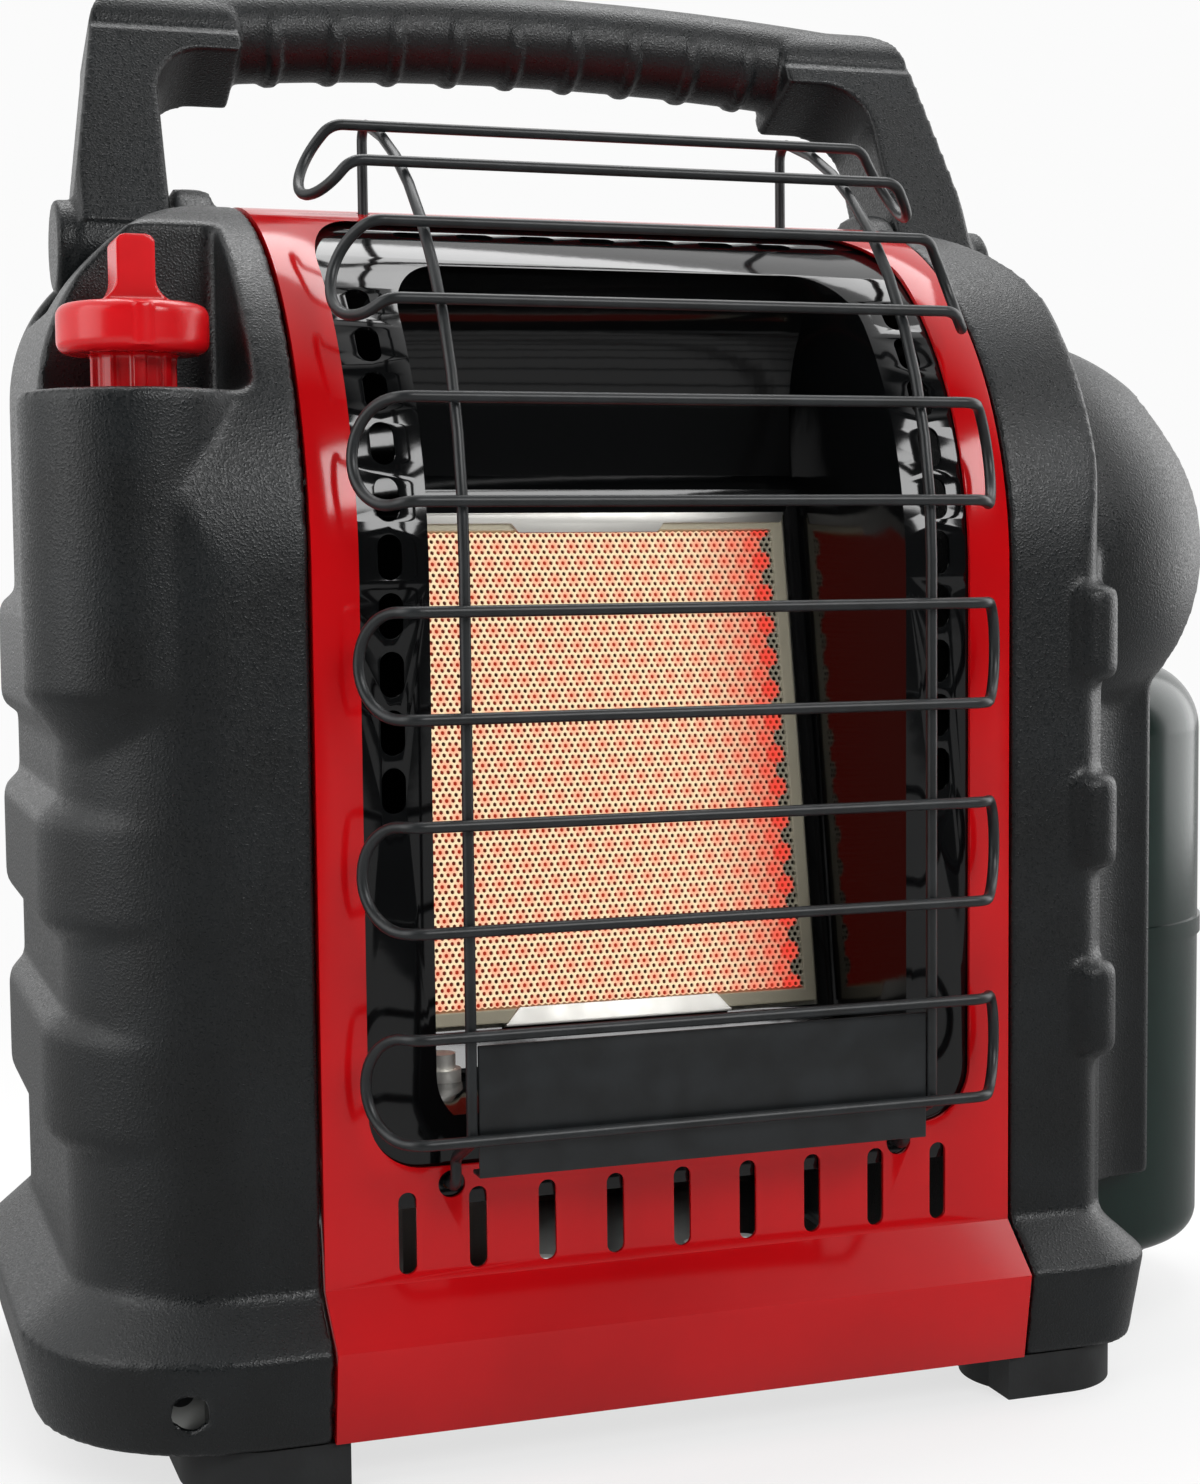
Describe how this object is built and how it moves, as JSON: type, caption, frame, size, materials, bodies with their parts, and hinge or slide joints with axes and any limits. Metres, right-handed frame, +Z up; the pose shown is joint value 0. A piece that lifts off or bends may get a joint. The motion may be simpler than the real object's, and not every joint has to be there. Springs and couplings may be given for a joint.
{
  "type": "portable gas heater",
  "caption": "Portable radiant gas heater with a curved sheet-metal front, ceramic burner tile, wire guard, folding carry handle, control knob and a screw-on gas cylinder.",
  "frame": {"origin": "on the floor, midway between the four feet", "axes": "+Z up, -Y towards the glowing front, +X to the right of somebody facing the front"},
  "size_m": [0.359, 0.206, 0.3876],
  "materials": {
    "red_enamel": "gloss red stove enamel on sheet steel",
    "cover_plastic": "fine-grained charcoal moulding",
    "back_enamel": "satin black paint on sheet steel",
    "zinc_sheet": "zinc-plated sheet",
    "chamber_enamel": "gloss black vitreous enamel",
    "tile_ceramic": "perforated porous ceramic, glowing",
    "fibre": "ceramic-fibre strip",
    "bright_steel": "bright stainless strip",
    "burner_steel": "aluminised sheet steel",
    "guard_wire": "dark grey heat-proof coat on steel wire",
    "handle_plastic": "fine-grained black moulding",
    "pin_steel": "turned and plated",
    "knob_plastic": "gloss red moulding",
    "brass": "turned, bare",
    "spring_steel": "plated spring wire",
    "igniter_case": "black moulding",
    "lead_sleeve": "silicone sleeve",
    "copper": "bare copper",
    "white_ceramic": "glazed insulator",
    "tube_steel": "drawn tube",
    "hose_rubber": "braided rubber gas hose",
    "regulator_zinc": "die-cast, dark grey",
    "cap_steel": "pressed and plated",
    "seal_rubber": "nitrile ring",
    "switch_plastic": "white moulding",
    "foot_rubber": "black moulded rubber",
    "screw_zinc": "zinc-plated",
    "tank_paint": "dark green gloss paint"
  },
  "bodies": {
    "housing": {"front_panel": "red_enamel", "left_cover": "cover_plastic", "right_cover": "cover_plastic", "rear_cover": "back_enamel", "base_pan": "zinc_sheet", "heat_shield": "burner_steel", "reflector": "chamber_enamel", "burner_tile": "tile_ceramic", "tile_gasket": "fibre", "tile_clips": "bright_steel", "burner_box": "burner_steel", "venturi_tube": "burner_steel", "gas_orifice": "brass", "guard_upright_left": "guard_wire", "guard_upright_right": "guard_wire", "guard_loop_1": "guard_wire", "guard_loop_2": "guard_wire", "guard_loop_3": "guard_wire", "guard_loop_4": "guard_wire", "guard_loop_5": "guard_wire", "guard_loop_6": "guard_wire", "guard_plate": "guard_wire", "gas_valve": "brass", "valve_bracket": "zinc_sheet", "piezo_igniter": "igniter_case", "igniter_lead": "lead_sleeve", "pilot_burner": "bright_steel", "pilot_bracket": "zinc_sheet", "thermocouple": "copper", "spark_electrode": "white_ceramic", "pilot_tube": "tube_steel", "burner_feed_tube": "tube_steel", "supply_tube": "hose_rubber", "outlet_elbow": "brass", "tip_switch_case": "switch_plastic", "foot_front_left": "foot_rubber", "foot_front_right": "foot_rubber", "foot_rear_left": "foot_rubber", "foot_rear_right": "foot_rubber", "foot_screws": "screw_zinc", "panel_screws": "screw_zinc", "cover_screws": "screw_zinc"},
    "handle": {"handle": "handle_plastic", "handle_pin_left": "pin_steel", "handle_pin_right": "pin_steel"},
    "knob_slider": {"push_rod": "brass", "knob_spring": "spring_steel"},
    "knob": {"knob": "knob_plastic", "knob_stem": "brass"},
    "regulator": {"regulator_body": "regulator_zinc", "regulator_cap": "cap_steel", "inlet_seal": "seal_rubber"},
    "cylinder": {"tank_shell": "tank_paint", "tank_weld_band": "tank_paint", "tank_neck": "cap_steel", "tank_relief_valve": "brass", "tank_base_ring": "tank_paint"},
    "tip_switch": {"tip_switch_pendulum": "pin_steel"}
  },
  "joints": [
    {"name": "handle_fold", "type": "hinge", "parent": "housing", "child": "handle", "pos_m": [0, 0.024, 0.306], "axis": [-1, 0, 0], "range_deg": [-26, 34]},
    {"name": "knob_push", "type": "slide", "parent": "housing", "child": "knob_slider", "axis": [0, 0, -1], "range_m": [0, 0.003], "stiffness_N_per_m": 900, "springref_m": -0.002, "deforming": ["knob_spring"]},
    {"name": "knob_turn", "type": "hinge", "parent": "knob_slider", "child": "knob", "pos_m": [-0.128, -0.055, 0.27], "axis": [0, 0, 1], "range_deg": [-180, 90]},
    {"name": "regulator_swivel", "type": "hinge", "parent": "housing", "child": "regulator", "pos_m": [0.148, 0.005, 0.24], "axis": [0, -1, 0], "range_deg": [0, 25]},
    {"name": "cylinder_off", "type": "slide", "parent": "regulator", "child": "cylinder", "axis": [0, 0, -1], "range_m": [0, 0.0125]},
    {"name": "tip_switch_swing", "type": "hinge", "parent": "housing", "child": "tip_switch", "pos_m": [-0.03, 0.039, 0.044], "axis": [0, 1, 0], "range_deg": [-15, 15]}
  ]
}
